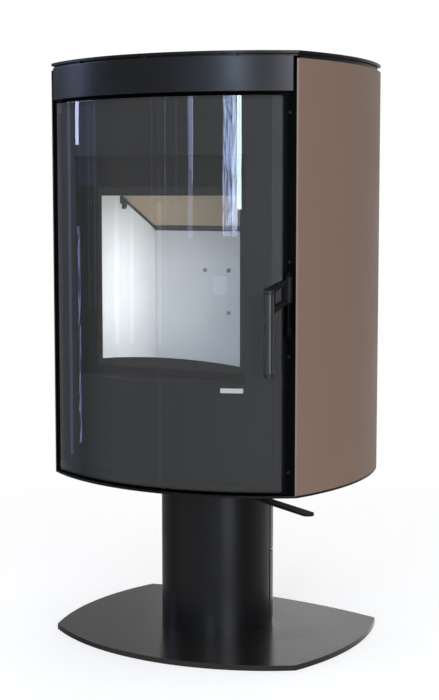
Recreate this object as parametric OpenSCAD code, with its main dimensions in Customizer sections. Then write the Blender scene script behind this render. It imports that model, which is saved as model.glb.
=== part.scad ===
// Wood burning stove on a round pedestal: curved glass door, brown side panels,
// black steel front, base plate of the same bowed outline as the body.
// Frame: +Z up, front towards -Y, origin on the floor on the pedestal's axis.

/* [Outline] */
// Width between the outline's corners
corner_w = 528; // [440:1:640]
// Depth between the outline's corners
corner_d = 352; // [300:1:430]
// Rise of the front arc over its corners
front_bulge = 86; // [70:1:105]
// Rise of each side arc over its corners
side_bulge = 32; // [15:1:50]
// Rise of the back arc over its corners
back_bulge = 37; // [25:1:50]
// Radius at the corners of the flat plates
corner_r = 7; // [4:1:14]

/* [Heights] */
// Base plate thickness
base_t = 10; // [8:1:12]
// Height of the pedestal column
column_h = 306; // [250:1:370]
// Body height, from its bottom plate's underside to the top of the fascia
body_h = 779; // [700:1:935]
// Bottom plate thickness
bottom_t = 4; // [3:0.5:6]
// Shadow gap under the top plate
top_gap = 3.8; // [3:0.1:8]
// Top plate thickness
top_t = 5.2; // [4:0.1:8]
// How far the side panels stop below the fascia's top
side_drop = 4; // [0:0.5:6]
// Height of the fascia over the door
fascia_h = 60.7; // [50:0.1:75]

/* [Pedestal] */
// Outside diameter of the column tube
column_d = 219.1; // [180:0.1:265]
// Wall of the column tube
column_wall = 4; // [3:0.5:6]
// Bolt circle of the rings inside the column
ring_pcd = 184; // [150:1:190]
// Bolt circle of the floor anchor holes
anchor_pcd = 136; // [120:1:150]
// Bore radius of the outside-air collar
air_bore_r = 48.5; // [38:0.5:52]

/* [Sheet] */
// Thickness of the outer panels
panel_t = 2; // [1.5:0.5:3]
// Thickness of the firebox steel
steel_t = 4; // [3:0.5:6]
// Thickness of the firebox lining boards
lining_t = 25; // [20:1:30]

/* [Firebox] */
// Where the back lining's face is
chamber_back = 95; // [60:1:110]
// Front face of the firebox front plate
front_plate_y = -172; // [-180:1:-160]
// Half width of the firebox mouth
mouth_hw = 149; // [110:1:165]
// Bottom of the mouth at its ends, over the body's underside
mouth_low = 230; // [210:1:260]
// Top of the mouth, under the fascia's top
mouth_drop = 241.4; // [210:0.1:300]
// Rise of the arch along the mouth's lower edge
mouth_arch = 8; // [0:0.5:15]
// Top of the fire floor, over the body's underside
floor_z = 190; // [184:1:215]
// Bore radius of the flue collar
flue_bore_r = 75; // [60:0.5:77]

/* [Door] */
// Distance from the outline's corner in to the glass edge, along X
glass_edge = 23.5; // [21:0.5:30]
// Glass thickness
glass_t = 4; // [3:0.5:5]
// Gap between the bottom plate and the glass
glass_lift = 6.6; // [5:0.1:12]
// Gap between the glass and the fascia
glass_drop = 7.3; // [5:0.1:12]
// Half width of the clear field in the glass
field_hw = 180; // [150:1:190]
// Bottom of the clear field, over the body's underside
field_low = 204; // [190:1:220]
// Top of the clear field, under the fascia's top
field_drop = 169; // [140:1:200]
// Hinge axis, measured in from the glass edge
hinge_in = 5.5; // [4:0.5:8]
// Depth of the hinge axis in front of the firebox front plate
hinge_out = 12; // [11:0.5:14]

/* [Handle] */
// Diameter of the handle bar
bar_d = 18; // [14:1:22]
// Length of the handle bar with its end caps
bar_len = 152; // [110:1:190]
// Height of the bar's lower end, over the body's underside
bar_z = 222; // [180:1:300]
// Distance of the bar's axis in front of its pivot
bar_out = 55; // [48:1:70]
// Radius of the handle's pivot shaft
shaft_r = 4; // [3:0.5:5]
// Angle that the handle turns through
handle_swing = 30; // [20:1:35]
// Air between the swung latch tongue and the firebox
latch_gap = 4.5; // [3:0.5:8]

/* [Air lever] */
// Distance of the lever's pivot from the centre, each way
lever_xy = 130; // [120:1:150]
// Length from the pivot to the rounded tip's centre
lever_len = 213; // [170:1:255]
// Width of the lever
lever_w = 22; // [16:1:28]
// Thickness of the lever
lever_t = 5; // [4:0.5:6]
// Angle of the lever from the +X axis
lever_angle = -29.6; // [-45:0.1:-15]

/* [Fits] */
// Gap between fixed pieces that don't touch
clear = 0.5; // [0.3:0.1:1]
// Radial clearance of a pin that turns in a bore
run_fit = 0.05; // [0.02:0.01:0.1]
// Radial clearance of a screw in its hole
screw_fit = 0.1; // [0.1:0.05:0.5]

/* [Hidden] */

arc_fn = 180;
round_fn = 64;
over = 1;           // how far a cut runs past a face
big = 2000;         // longer than the whole stove

// Radii and centres of the four arcs
front_r = (pow(corner_w / 2, 2) + pow(front_bulge, 2)) / (2 * front_bulge);
front_cy = front_r - corner_d / 2 - front_bulge;
side_r = (pow(corner_d / 2, 2) + pow(side_bulge, 2)) / (2 * side_bulge);
side_cx = corner_w / 2 + side_bulge - side_r;
back_r = (pow(corner_w / 2, 2) + pow(back_bulge, 2)) / (2 * back_bulge);
back_cy = corner_d / 2 + back_bulge - back_r;

// Levels
body_z = base_t + column_h;
deck_z = body_z + bottom_t;
fascia_top = body_z + body_h;
fascia_low = fascia_top - fascia_h;
side_top = fascia_top - side_drop;
top_z = fascia_top + top_gap;
glass_low = deck_z + glass_lift;
glass_high = fascia_low - glass_drop;
glass_inset = 3.4;                       // door frame edge inside the glass edge, top and bottom
frame_low = glass_low + glass_inset;
frame_high = glass_high - glass_inset;

// Glass edge, and the handle's pivot and latch tongue beside it
glass_hw = corner_w / 2 - glass_edge;
pivot_x = glass_hw + 9.5;
pivot_y = front_plate_y - hinge_out;
tongue_w = 5;
tongue_len = 26;

// Firebox box, outside
shell_hw = pivot_x - tongue_len * sin(handle_swing) - tongue_w / 2 - latch_gap;
chamber_hw = shell_hw - steel_t - lining_t;
shell_back = chamber_back + lining_t + steel_t;
shell_front = front_plate_y + steel_t;
fire_z = body_z + floor_z;
floor_t = 20;
shell_low = fire_z - floor_t - steel_t;
shell_high = side_top - 31;
mouth_z0 = body_z + mouth_low;
mouth_z1 = fascia_top - mouth_drop;
field_z0 = body_z + field_low;
field_z1 = fascia_top - field_drop;
lining_high = mouth_z1 + 120;

// Door
post_in = glass_hw + 2.5;                // post edge beside the door
post_t = 3;
door_back_y = front_plate_y - 2.5;       // back face of the door
door_plate_t = 2;
door_hw = glass_hw - 0.5;
hinge_x = -(glass_hw - hinge_in);
pin_r = 3;
hinge_y = max(front_plate_y - hinge_out, front_y(hinge_x, glass_t) + (pin_r + 0.5) * front_r / sqrt(front_r * front_r - hinge_x * hinge_x));
glass_back = glass_t + 4;                // glass and its seal, measured in from the front arc

// Handle
bar_low = body_z + bar_z;
bar_high = bar_low + bar_len;
bar_lean = 10;                           // sideways step from the pivot to the bar
bar_angle = atan2(-bar_out, -bar_lean);
bar_reach = norm([bar_out, bar_lean]);
cap_h = 7;
strut_h = 45;                            // height of the handle bracket
strut_rise = 21;                         // its rise from bar to pivot
tongue_z = bar_high - strut_h - 32;      // underside of the latch tongue
tongue_h = 10;

// Lever
lever_gap = 9;                           // air between the lever and the bottom plate
lever_z = body_z - lever_gap - lever_t;
register_r = 31;
register_t = 3;

column_r = column_d / 2;
ring_in_r = ring_pcd / 2 - 14;
ring_t = 6;

function front_y(x, inset = 0) = front_cy - sqrt(pow(front_r - inset, 2) - x * x);
function back_y(x, inset = 0) = back_cy + sqrt(pow(back_r - inset, 2) - x * x);
function side_x(y, inset = 0) = side_cx + sqrt(pow(side_r - inset, 2) - y * y);
// The point where two circles meet, on the side that turn picks
function meet(c1, r1, c2, r2, turn) =
    let (d = c2 - c1, l = norm(d), a = (r1 * r1 - r2 * r2 + l * l) / (2 * l), h = sqrt(r1 * r1 - a * a))
    c1 + d * a / l + turn * h * [-d.y, d.x] / l;
function unit(v) = v / norm(v);

module front_disc(inset = 0) translate([0, front_cy]) circle(r = front_r - inset, $fn = arc_fn);
module back_disc(inset = 0) translate([0, back_cy]) circle(r = back_r - inset, $fn = 2 * arc_fn);
module side_disc(side, inset = 0) translate([side * side_cx, 0]) circle(r = side_r - inset, $fn = arc_fn);

// The bowed four-arc outline, with sharp corners
module outline(inset = 0) {
    intersection() {
        front_disc(inset);
        back_disc(inset);
        side_disc(1, inset);
        side_disc(-1, inset);
    }
}

// What a corner loses when it is rounded, on the +X side
module corner_waste(c1, r1, turn) {
    c2 = [side_cx, 0];
    tip = meet(c1, r1, c2, side_r, turn);
    eye = meet(c1, r1 - corner_r, c2, side_r - corner_r, turn);
    difference() {
        polygon([eye, eye + 2 * corner_r * unit(eye - c1), 2 * tip - eye, eye + 2 * corner_r * unit(eye - c2)]);
        translate(eye) circle(r = corner_r, $fn = round_fn);
    }
}

// The outline of the flat plates, with rounded corners
module plate_outline() {
    difference() {
        outline();
        for (m = [0, 1]) mirror([m, 0]) {
            corner_waste([0, front_cy], front_r, 1);
            corner_waste([0, back_cy], back_r, -1);
        }
    }
}

// A box between two corners
module block(low, high) translate(low) cube(high - low);

module at_circle(d, count, turn = 0)
    for (i = [0 : count - 1]) rotate([0, 0, turn + i * 360 / count]) translate([d / 2, 0, 0]) children();

module pin(r, z0, z1) translate([0, 0, z0]) cylinder(r = r, h = z1 - z0, $fn = round_fn);

module tube(r_out, r_in, z0, z1) {
    difference() {
        pin(r_out, z0, z1);
        pin(r_in, z0 - over, z1 + over);
    }
}

// A hexagon bolt with its head up, standing on z0
module hex_bolt(r, shank, z0) {
    pin(r, z0 - shank, z0);
    translate([0, 0, z0]) cylinder(r = 1.85 * r, h = 1.3 * r, $fn = 6);
}

// A pan head screw along -Y, its head's underside at the origin
module screw_y(r, shank) {
    rotate([-90, 0, 0]) cylinder(r = r, h = shank, $fn = round_fn);
    rotate([90, 0, 0]) cylinder(r = 1.9 * r, h = 0.9 * r, $fn = round_fn);
}

// ---- Pedestal ----

bolt_r = 4;
anchor_r = 5;
air_hole_r = air_bore_r + 1.5 + clear;
duct_r = air_bore_r + 1.5 + clear;       // inside of the duct, over the collar
duct_wall = 1.5;
cover_t = 1;
cover_low = base_t + 12;
cover_high = body_z - 6;
cover_edge = 10;                         // angle of the cover's edge behind the +X axis
screw_angle = 15;
screw_z = base_t + column_h / 2;
m4 = 2;

module base_plate() {
    color("#4a4a48") difference() {
        linear_extrude(base_t) plate_outline();
        pin(air_hole_r, -over, base_t + over);
        at_circle(anchor_pcd, 4, 45) pin(anchor_r, -over, base_t + over);
        at_circle(ring_pcd, 4) pin(bolt_r + screw_fit, base_t - 8, base_t + over);
    }
}

module pedestal_column() {
    color("#26282c") difference() {
        union() {
            tube(column_r, column_r - column_wall, base_t, body_z);
            tube(column_r - column_wall, ring_in_r, base_t, base_t + ring_t);
            tube(column_r - column_wall, ring_in_r, body_z - ring_t, body_z);
        }
        at_circle(ring_pcd, 4) {
            pin(bolt_r + screw_fit, base_t - over, base_t + ring_t + over);
            pin(bolt_r + screw_fit, body_z - ring_t - over, body_z + over);
        }
        block([-70, 20, base_t + 50], [70, column_r + over, body_z - 50]);
        for (a = [screw_angle, 180 - screw_angle]) rotate([0, 0, a]) translate([column_r - column_wall - over, 0, screw_z])
            rotate([0, 90, 0]) cylinder(r = m4 + screw_fit, h = column_wall + 2 * over, $fn = round_fn);
    }
}

module column_bolts() {
    color("#8c8c8c") at_circle(ring_pcd, 4) {
        hex_bolt(bolt_r, ring_t + 8, base_t + ring_t);
        mirror([0, 0, 1]) hex_bolt(bolt_r, ring_t + bottom_t, ring_t - body_z);
    }
}

module column_cover() {
    reach = 2 * column_r;
    color("#232528") difference() {
        intersection() {
            tube(column_r + cover_t, column_r, cover_low, cover_high);
            translate([0, 0, cover_low]) linear_extrude(cover_high - cover_low)
                polygon([[0, 0], reach * [cos(cover_edge), sin(cover_edge)], [reach, reach],
                         [-reach, reach], reach * [-cos(cover_edge), sin(cover_edge)]]);
        }
        for (a = [screw_angle, 180 - screw_angle]) rotate([0, 0, a]) translate([column_r - over, 0, screw_z])
            rotate([0, 90, 0]) cylinder(r = m4 + screw_fit, h = cover_t + 2 * over, $fn = round_fn);
    }
}

module column_cover_screws() {
    color("#6f7276") for (a = [screw_angle, 180 - screw_angle])
        rotate([0, 0, a]) translate([column_r + cover_t, 0, screw_z]) rotate([0, 0, 90]) screw_y(m4, cover_t + 5);
}

module air_inlet_collar() color("#9a9c9e") tube(air_bore_r + 1.5, air_bore_r, 0, base_t + 50);

module air_duct() color("#b8babb") tube(duct_r + duct_wall, duct_r, base_t + 10, deck_z + 8);

// ---- Base of the body ----

port_r = 6.5;
port_pcd = 40;
air_box_hw = 188;
air_box_front = shell_front + 3;
air_box_back = 110;
air_box_high = deck_z + 62;
ash_hw = mouth_hw + 7;
ash_back = chamber_back;
ash_low = shell_low - 92;
pan_t = 1.5;
support_hw = 206;

module lever_place() translate([lever_xy, -lever_xy, 0]) children();

module bottom_plate() {
    color("#303136") difference() {
        translate([0, 0, body_z]) linear_extrude(bottom_t) plate_outline();
        pin(duct_r + duct_wall + clear, body_z - over, deck_z + over);
        at_circle(ring_pcd, 4) pin(bolt_r + screw_fit, body_z - over, deck_z + over);
        lever_place() {
            pin(5 + run_fit, body_z - over, deck_z + over);
            at_circle(port_pcd, 6) pin(port_r, body_z - over, deck_z + over);
        }
    }
}

module air_box() {
    color("#3a3a3c") difference() {
        block([-air_box_hw, air_box_front, deck_z], [air_box_hw, air_box_back, air_box_high]);
        block([-air_box_hw + panel_t, air_box_front + panel_t, deck_z - over],
              [air_box_hw - panel_t, air_box_back - panel_t, air_box_high - panel_t]);
        block([-40, 40, air_box_high - panel_t - over], [40, 90, air_box_high + over]);
    }
}

module firebox_supports() {
    color("#3a3a3c") for (m = [0, 1]) mirror([m, 0, 0]) {
        block([support_hw, -150, deck_z], [support_hw + 3, 100, shell_low]);
        block([support_hw - 15, -150, deck_z], [support_hw, 100, deck_z + 3]);
        block([support_hw - 15, -150, shell_low - 3], [support_hw, 100, shell_low]);
    }
}

module ash_housing() {
    color("#3a3a3c") difference() {
        block([-ash_hw, shell_front, ash_low], [ash_hw, ash_back, shell_low]);
        block([-ash_hw + panel_t, shell_front - over, ash_low + panel_t],
              [ash_hw - panel_t, ash_back - panel_t, shell_low + over]);
    }
}

module ash_pan() {
    hw = ash_hw - panel_t - 4;
    low = ash_low + panel_t;
    high = shell_low - 12;
    front = shell_front + 4;
    back = ash_back - panel_t - 8;
    color("#5a5c5e") {
        difference() {
            block([-hw, front, low], [hw, back, high]);
            block([-hw + pan_t, front + pan_t, low + pan_t], [hw - pan_t, back - pan_t, high + over]);
        }
        block([-45, front - 3, high - 22], [45, front, high - 18]);
    }
}

// ---- Firebox ----

grate_hw = 75;
grate_hd = 60;
grate_y = -30;

module firebox_body() {
    color("#2c2c2e") difference() {
        block([-shell_hw, shell_front, shell_low], [shell_hw, shell_back, shell_high]);
        block([-shell_hw + steel_t, shell_front - over, shell_low + steel_t],
              [shell_hw - steel_t, shell_back - steel_t, shell_high - steel_t]);
        pin(flue_bore_r, shell_high - steel_t - over, shell_high + over);
        block([-grate_hw, grate_y - grate_hd, shell_low - over], [grate_hw, grate_y + grate_hd, shell_low + steel_t + over]);
    }
}

module tongue_slot() {
    block([shell_hw + 0.5, front_plate_y - 10, tongue_z - 3],
          [pivot_x + tongue_w / 2 + 3, shell_front + 5, tongue_z + tongue_h + 3]);
}

module firebox_front() {
    ash_mouth = ash_hw - panel_t - 2;
    color("#222224") difference() {
        block([-post_in - 5, front_plate_y, deck_z], [post_in + 5, shell_front, side_top - 3]);
        block([-mouth_hw - 6, front_plate_y - over, mouth_z0 - 8], [mouth_hw + 6, shell_front + over, mouth_z1 + 6]);
        block([-ash_mouth, front_plate_y - over, ash_low + panel_t], [ash_mouth, shell_front + over, shell_low - 6]);
        tongue_slot();
        for (x = [-1, 1], z = post_screw_z) translate([x * post_screw_x, front_plate_y - over, z])
            rotate([-90, 0, 0]) cylinder(r = m4 + screw_fit, h = steel_t + 2 * over, $fn = round_fn);
    }
}

module side_lining(side) {
    face = side * chamber_hw;
    outer = side * (chamber_hw + lining_t);
    color("#e6e4de") block([min(face, outer), shell_front, fire_z], [max(face, outer), shell_back - steel_t, lining_high]);
}

module lining_left() side_lining(-1);
module lining_right() side_lining(1);

hole_pitch = 55;
hole_rise = 86;
air_hole_z = mouth_z0 + 71.5;

module lining_back() {
    color("#dcdad4") difference() {
        block([-chamber_hw, chamber_back, fire_z], [chamber_hw, chamber_back + lining_t, lining_high]);
        for (i = [-1.5 : 1 : 1.5]) translate([i * hole_pitch, chamber_back - over, air_hole_z + hole_rise])
            rotate([-90, 0, 0]) cylinder(r = 4.5, h = lining_t + 2 * over, $fn = round_fn);
        for (i = [-0.5, 0.5]) translate([i * hole_pitch, chamber_back - over, air_hole_z])
            rotate([-90, 0, 0]) cylinder(r = 4.5, h = lining_t + 2 * over, $fn = round_fn);
    }
}

module fire_floor() {
    low = shell_low + steel_t;
    color("#cfcbc2") difference() {
        block([-shell_hw + steel_t, shell_front, low], [shell_hw - steel_t, shell_back - steel_t, fire_z]);
        block([-grate_hw, grate_y - grate_hd, low - over], [grate_hw, grate_y + grate_hd, fire_z + over]);
    }
}

module grate() {
    low = shell_low + steel_t;
    rim = 10;
    bars = 7;
    pitch = (2 * grate_hw - rim) / bars;
    color("#3b3b3b") difference() {
        block([-grate_hw + clear, grate_y - grate_hd + clear, low], [grate_hw - clear, grate_y + grate_hd - clear, fire_z - 4]);
        for (i = [0 : bars - 1])
            block([-grate_hw + rim + i * pitch, grate_y - grate_hd + rim, low - over],
                  [-grate_hw + i * pitch + pitch, grate_y + grate_hd - rim, fire_z]);
    }
}

module log_guard() {
    color("#2f2f2f") block([-mouth_hw + 2, shell_front + 2, fire_z], [mouth_hw - 2, shell_front + 7, mouth_z0 - 2]);
}

// Slope of the baffle, low at the back
baffle_t = 20;
baffle_rear_z = mouth_z1 - 66;
baffle_slope = 0.5;
baffle_front_y = chamber_back - 205;
function baffle_z(y) = baffle_rear_z + (chamber_back - y) * baffle_slope;

module baffle() {
    y0 = baffle_front_y;
    y1 = chamber_back - clear;
    color("#9c8b75") translate([-chamber_hw + clear, 0, 0]) rotate([90, 0, 90]) linear_extrude(2 * (chamber_hw - clear))
        polygon([[y0, baffle_z(y0)], [y1, baffle_z(y1)], [y1, baffle_z(y1) + baffle_t], [y0, baffle_z(y0) + baffle_t]]);
}

// A folded rail under the baffle's rear edge, with an arm up each side
module baffle_rail() {
    y0 = chamber_back - 12;
    y1 = baffle_front_y + 90;
    color("#333333") {
        translate([-chamber_hw + clear, 0, 0]) rotate([90, 0, 90]) linear_extrude(2 * (chamber_hw - clear))
            polygon([[y0, baffle_z(y0)], [chamber_back, baffle_z(chamber_back)],
                     [chamber_back, baffle_z(chamber_back) - 5], [chamber_back - 3, baffle_z(chamber_back) - 5],
                     [chamber_back - 3, baffle_z(chamber_back) - 2], [y0, baffle_z(y0) - 4]]);
        for (m = [0, 1]) mirror([m, 0, 0]) translate([chamber_hw - 6, 0, 0]) rotate([90, 0, 90]) linear_extrude(6 - clear)
            polygon([[y1, baffle_z(y1)], [y0 + 2, baffle_z(y0 + 2)], [y0 + 2, baffle_z(y0 + 2) - 3], [y1, baffle_z(y1) - 3]]);
    }
}

// Small hooks near the front corners that the baffle's arms hang from
module baffle_brackets() {
    y0 = baffle_front_y + 74;
    y1 = baffle_front_y + 88;
    color("#333333") for (m = [0, 1]) mirror([m, 0, 0])
        translate([chamber_hw - 8, 0, 0]) rotate([90, 0, 90]) linear_extrude(8)
            polygon([[y0, baffle_z(y0)], [y1, baffle_z(y1)], [y1, baffle_z(y1) - 15],
                     [y0 + 7, baffle_z(y1) - 19], [y0 + 7, baffle_z(y1) - 8], [y0, baffle_z(y1) - 8]]);
}

module smoke_plate() {
    z = lining_high;
    color("#3d3d3d") block([-shell_hw + steel_t + clear, -60, z], [shell_hw - steel_t - clear, shell_back - steel_t - clear, z + 3]);
}

module air_wash_duct() {
    low = mouth_z1 + 8;
    color("#343434") difference() {
        block([-chamber_hw + clear, shell_front, low], [chamber_hw - clear, shell_front + 26, low + 26]);
        block([-chamber_hw, shell_front + 2, low + 2], [chamber_hw, shell_front + 24, low + 24]);
        block([-mouth_hw, shell_front + 4, low - over], [mouth_hw, shell_front + 9, low + 3]);
    }
}

module flue_collar() {
    color("#2a2a2a") {
        tube(flue_bore_r + 3, flue_bore_r, shell_high, fascia_top - 2);
        tube(flue_bore_r + 17, flue_bore_r + 3, shell_high, shell_high + 3);
    }
}

module heat_shields() {
    shield_x = shell_hw + 9;
    shield_y = shell_back + 12;
    color("#8d9092") {
        for (m = [0, 1]) mirror([m, 0, 0]) {
            block([shield_x, -130, deck_z], [shield_x + 1, shield_y, side_top - 50]);
        }
        block([-shield_x + 12, shield_y, deck_z], [shield_x - 12, shield_y + 1, side_top - 50]);
    }
}

// ---- Casing ----

post_screw_z = [body_z + 45, body_z + 253, body_z + 421, fascia_top - 97];
post_screw_x = post_in + 3.5;
back_hw = side_x(corner_d / 2, panel_t) - clear;
rear_cover_r = 84;
rear_cover_z = side_top - 140;

module front_post(side) {
    outer = side_x(front_plate_y - post_t, panel_t) - clear;
    color("#141416") difference() {
        union() {
            mirror([side < 0 ? 1 : 0, 0, 0]) {
                block([post_in, front_plate_y - post_t, deck_z], [outer, front_plate_y, side_top - 3]);
                block([outer - 2, front_plate_y, deck_z], [outer, front_plate_y + 30, side_top - 3]);
            }
        }
        if (side > 0) tongue_slot();
        for (z = post_screw_z) translate([side * post_screw_x, front_plate_y - post_t - over, z])
            rotate([-90, 0, 0]) cylinder(r = m4 + screw_fit, h = post_t + 2 * over, $fn = round_fn);
    }
}

module front_post_left() front_post(-1);
module front_post_right() front_post(1);

module post_screws() {
    color("#7c8086") for (x = [-1, 1], z = post_screw_z)
        translate([x * post_screw_x, front_plate_y - post_t, z]) screw_y(m4, 7);
}

module side_panel(side) {
    color("#7b675c") translate([0, 0, deck_z]) linear_extrude(side_top - deck_z) difference() {
        outline();
        side_disc(side, panel_t);
        translate([side > 0 ? -big : 0, -big / 2]) square([big, big]);
    }
}

module side_panel_left() side_panel(-1);
module side_panel_right() side_panel(1);

// A place on the back arc at x, facing out
module on_back(x, z) translate([0, back_cy, z]) rotate([0, 0, -asin(x / back_r)]) translate([0, back_r, 0]) children();
back_screw_x = back_hw - 10;
back_screw_z = [deck_z + 30, side_top - 30];

module rear_cover_holes(r)
    for (a = [90, 210, 330]) translate([(rear_cover_r - 9) * cos(a), 0, rear_cover_z + (rear_cover_r - 9) * sin(a)])
        rotate([-90, 0, 0]) cylinder(r = r, h = big / 2, $fn = round_fn);

module back_panel() {
    slots = 9;
    slot_pitch = 40;
    color("#1e1f22") difference() {
        translate([0, 0, deck_z]) linear_extrude(side_top - 1 - deck_z) difference() {
            intersection() {
                outline();
                translate([-back_hw, 0]) square([2 * back_hw, big]);
            }
            back_disc(panel_t);
        }
        for (row = [0, 1], i = [0 : slots - 1])
            block([(i - (slots - 1) / 2) * slot_pitch - 13, 0, deck_z + 40 + row * 24],
                  [(i - (slots - 1) / 2) * slot_pitch + 13, big, deck_z + 48 + row * 24]);
        translate([0, 0, rear_cover_z]) rotate([-90, 0, 0]) cylinder(r = flue_bore_r - 5, h = big, $fn = round_fn);
        rear_cover_holes(m4 + screw_fit);
        for (x = [-1, 1], z = back_screw_z) on_back(x * back_screw_x, z)
            rotate([90, 0, 0]) cylinder(r = m4 + screw_fit, h = 2 * big, center = true, $fn = round_fn);
    }
}

module back_panel_screws() {
    color("#6f7276") {
        for (x = [-1, 1], z = back_screw_z)
            on_back(x * back_screw_x, z) translate([0, 0.3, 0]) rotate([0, 0, 180]) screw_y(m4, 8);
        for (a = [90, 210, 330]) translate([(rear_cover_r - 9) * cos(a), back_y(0) + 1.5, rear_cover_z + (rear_cover_r - 9) * sin(a)])
            rotate([0, 0, 180]) screw_y(m4, 10);
    }
}

module rear_flue_cover() {
    color("#1e1f22") difference() {
        translate([0, back_y(0), rear_cover_z]) rotate([-90, 0, 0]) cylinder(r = rear_cover_r, h = 1.5, $fn = round_fn);
        rear_cover_holes(m4 + screw_fit);
    }
}

fascia_hw = corner_w / 2 - 8;

module front_strip(hw, inset0, inset1) {
    intersection() {
        difference() {
            front_disc(inset0);
            front_disc(inset1);
        }
        translate([-hw, -big]) square([2 * hw, big + front_plate_y - post_t - clear]);
    }
}

module fascia() {
    color("#2b2f35") {
        translate([0, 0, fascia_low]) linear_extrude(fascia_h) front_strip(fascia_hw, 0, panel_t);
        for (z = [fascia_low, fascia_top - panel_t]) translate([0, 0, z])
            linear_extrude(panel_t) front_strip(fascia_hw, panel_t, 16);
    }
}

deck_inset = 6;

// The tray between the panels, with the neck that carries the top plate
module top_deck() {
    front_cut = front_plate_y + 8;
    color("#101012") difference() {
        union() {
            translate([0, 0, side_top - 2]) linear_extrude(2) outline(panel_t);
            translate([0, 0, side_top - 1]) linear_extrude(top_z - side_top + 1) difference() {
                outline(deck_inset);
                outline(deck_inset + 2);
            }
        }
        translate([0, 0, side_top - 2 - over]) linear_extrude(2 + over + side_drop)
            translate([-big / 2, front_cut - big]) square([big, big]);
        pin(flue_bore_r + 8, side_top - 2 - over, side_top + over);
    }
}

module top_spacers() {
    color("#3c3f44") translate([0, 0, fascia_top]) linear_extrude(top_gap) intersection() {
        difference() {
            outline(2);
            outline(deck_inset);
        }
        for (x = [-0.62, 0, 0.62]) translate([x * corner_w / 2 - 5, -big]) square([10, 2 * big]);
    }
}

module top_plate() {
    color("#33373c") difference() {
        translate([0, 0, top_z]) linear_extrude(top_t) plate_outline();
        pin(flue_bore_r + 8, top_z - over, top_z + top_t + over);
    }
}

// ---- Door hinges and latch keeper ----

tab_t = 3;

module hinge_place() translate([hinge_x, hinge_y, 0]) children();

module hinge_tab(z) {
    difference() {
        hull() {
            hinge_place() pin(8, z, z + tab_t);
            block([hinge_x - 8, front_plate_y - 1, z], [hinge_x + 22, front_plate_y, z + tab_t]);
        }
        hinge_place() pin(pin_r + screw_fit, z - over, z + tab_t + over);
    }
}

module hinge_brackets() {
    color("#26262a") {
        hinge_tab(glass_high + 2);
        hinge_tab(deck_z + 1.5);
    }
}

module hinge_pins() {
    color("#b9bcc0") hinge_place() {
        pin(pin_r, frame_high - block_h + 2, glass_high + 2 + tab_t);
        pin(pin_r + 2, glass_high + 2 + tab_t, glass_high + 4 + tab_t);
        pin(pin_r, deck_z + 1.5, frame_low + block_h - 2);
    }
}

module latch_keeper() {
    roller_r = 3;
    x = pivot_x + tongue_w / 2 + 0.4 + roller_r;
    y = shell_front + 7;
    wall = side_x(front_plate_y - post_t, panel_t) - clear - 2;
    color("#a5a8ab") {
        translate([x, y, 0]) pin(roller_r, tongue_z - 5, tongue_z + tongue_h + 5);
        for (z = [tongue_z - 7, tongue_z + tongue_h + 5])
            block([x - roller_r, shell_front, z], [wall, y + roller_r + 2, z + 2]);
    }
}

// ---- Door ----

block_w = 19;
block_h = 14;

// The corners of the door frame that the hinge blocks fill
module hinge_corners(gap = 0)
    for (z = [frame_low, frame_high - block_h])
        block([-big / 2, -big / 2, z - (z > frame_low ? gap : over)], [block_w - door_hw + gap, 0, z + block_h + (z > frame_low ? over : gap)]);

module door_region(inset, back, hw) {
    intersection() {
        front_disc(inset);
        translate([-hw, -big]) square([2 * hw, big + back]);
    }
}

module field(hw, z0, z1, grow = 0)
    block([-hw - grow, -big / 2, z0 - grow], [hw + grow, front_plate_y + 50, z1 + grow]);

module door_frame() {
    skin = 2;
    color("#17181b") difference() {
        translate([0, 0, frame_low]) linear_extrude(frame_high - frame_low)
            door_region(glass_back, door_back_y - door_plate_t, door_hw);
        difference() {
            translate([0, 0, frame_low + skin]) linear_extrude(frame_high - frame_low - 2 * skin)
                door_region(glass_back + skin, front_plate_y, door_hw - skin);
            field(field_hw, field_z0, field_z1, skin);
        }
        field(field_hw, field_z0, field_z1);
        hinge_corners(screw_fit);
    }
}

module door_back_plate() {
    arch_r = (pow(mouth_hw, 2) + pow(mouth_arch, 2)) / (2 * mouth_arch);
    y0 = door_back_y - door_plate_t;
    color("#1c1c1e") difference() {
        block([-door_hw, y0, frame_low], [door_hw, door_back_y, frame_high]);
        difference() {
            block([-mouth_hw, y0 - over, mouth_z0], [mouth_hw, door_back_y + over, mouth_z1]);
            translate([0, y0 - 2 * over, mouth_z0 + mouth_arch - arch_r]) rotate([-90, 0, 0])
                cylinder(r = arch_r, h = door_plate_t + 4 * over, $fn = 2 * arc_fn);
        }
        clip_screw_holes(m4 / 2 + 0.5 + screw_fit);
    }
}

module door_hinge_blocks() {
    color("#26262a") difference() {
        intersection() {
            translate([0, 0, frame_low]) linear_extrude(frame_high - frame_low)
                door_region(glass_t + clear, door_back_y - door_plate_t, door_hw);
            hinge_corners();
        }
        hinge_place() pin(pin_r + run_fit, frame_low - over, frame_high + over);
    }
}

module door_glass() {
    color("#30343a", 0.45) translate([0, 0, glass_low]) linear_extrude(glass_high - glass_low)
        front_strip(glass_hw, 0, glass_t);
}

module glass_seal() {
    side_edge = 13.5;
    top_edge = 5 - glass_inset;
    color("#0c0c0d") difference() {
        translate([0, 0, frame_low]) linear_extrude(frame_high - frame_low) front_strip(door_hw, glass_t, glass_back);
        block([-door_hw + side_edge, -big / 2, frame_low + 12], [door_hw - side_edge, 0, frame_high - top_edge]);
        hinge_corners(screw_fit);
    }
}

pane_hw = mouth_hw + 16;
pane_low = mouth_z0 - 12;
pane_high = mouth_z1 + 16;
pane_y = door_back_y - door_plate_t;
clip_z = [pane_low + 30, (pane_low + pane_high) / 2, pane_high - 30];
clip_x = pane_hw + 6;

module inner_glass() {
    color("#c8d2d6", 0.3) block([-pane_hw, pane_y - glass_t, pane_low], [pane_hw, pane_y, pane_high]);
}

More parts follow.
